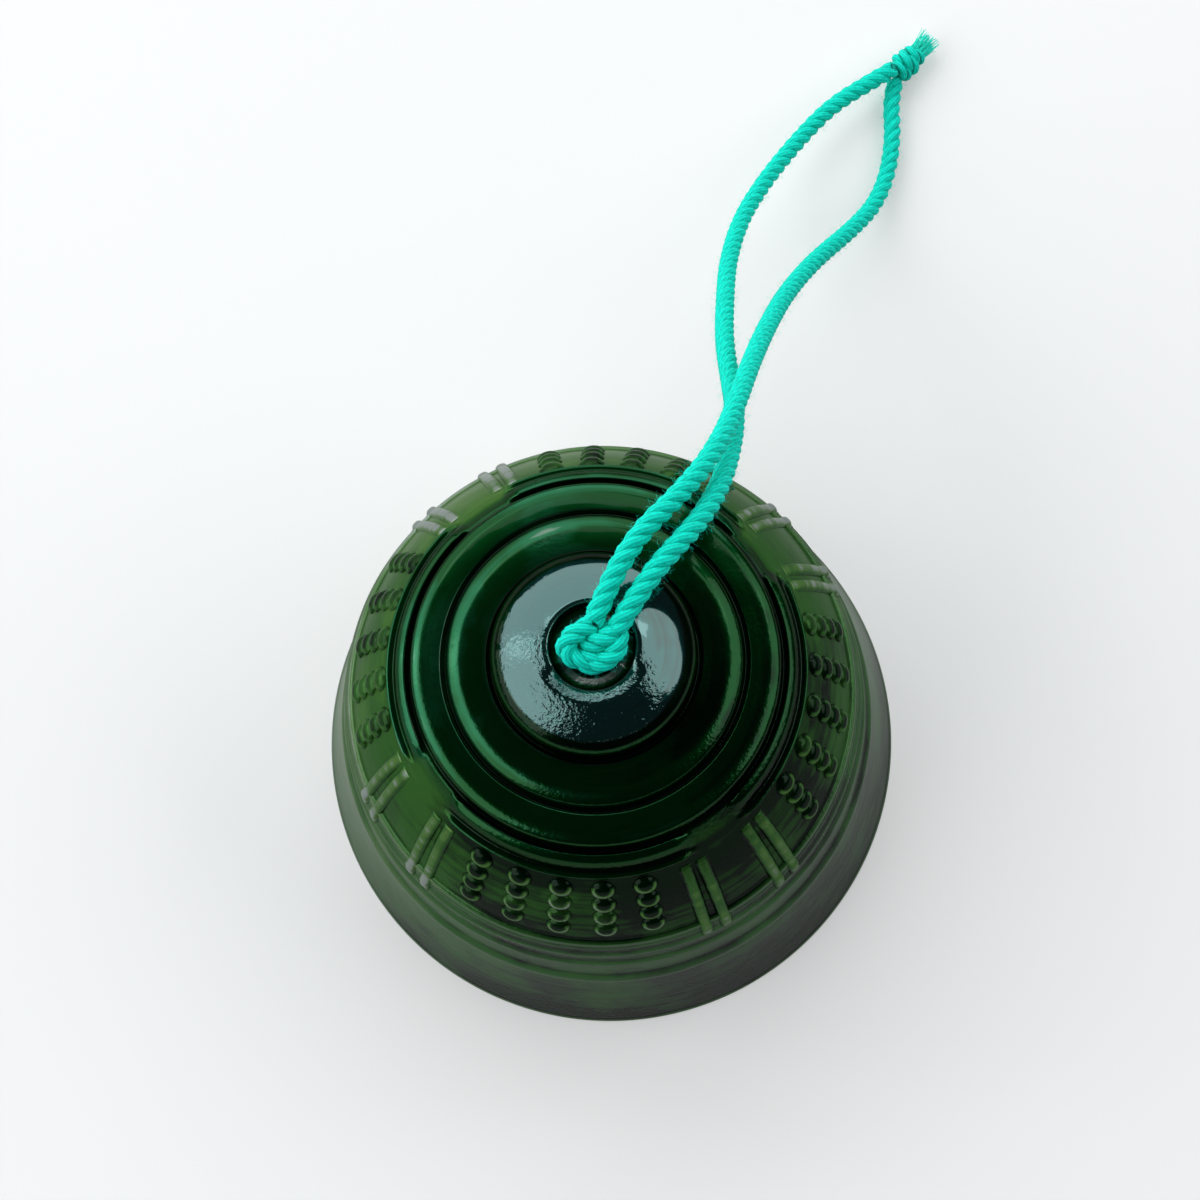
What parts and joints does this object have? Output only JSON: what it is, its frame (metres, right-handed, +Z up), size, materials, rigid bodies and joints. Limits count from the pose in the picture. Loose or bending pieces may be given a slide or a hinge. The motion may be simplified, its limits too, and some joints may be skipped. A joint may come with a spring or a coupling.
{
  "type": "wind bell",
  "caption": "Small cast-iron wind bell shaped like a temple bell, with a round clapper inside and a knotted cord loop through the crown.",
  "frame": {"origin": "centre of the rim's bottom plane", "axes": "+Z up along the bell's axis, -Y towards one of the four framed panels"},
  "size_m": [0.0622, 0.1208, 0.0525],
  "materials": {
    "green_lacquer_iron": "glossy dark green lacquer over cast iron",
    "teal_cord": "twisted cotton cord",
    "clapper_brass": "dull brass plate"
  },
  "bodies": {
    "bell": {"bell_body": "green_lacquer_iron"},
    "cord": {"crown_knot": "teal_cord", "crown_cord": "teal_cord", "hanging_strand_over": "teal_cord", "hanging_strand_under": "teal_cord", "end_knot": "teal_cord", "end_tails": "teal_cord"},
    "swivel": {"stop_knot": "teal_cord"},
    "clapper": {"clapper_cord": "teal_cord", "clapper_disc": "clapper_brass", "clapper_knot": "teal_cord", "clapper_tail": "teal_cord"}
  },
  "joints": [
    {"name": "cord_lift", "type": "slide", "parent": "bell", "child": "cord", "axis": [0, 0, 1], "range_m": [0, 0.0027]},
    {"name": "clapper_twist", "type": "hinge", "parent": "cord", "child": "swivel", "pos_m": [0, 0, 0.03555], "axis": [0, 0, 1], "continuous": true},
    {"name": "clapper_swing", "type": "hinge", "parent": "swivel", "child": "clapper", "pos_m": [0, 0, 0.03555], "axis": [0, 1, 0], "range_deg": [-25, 25]}
  ]
}
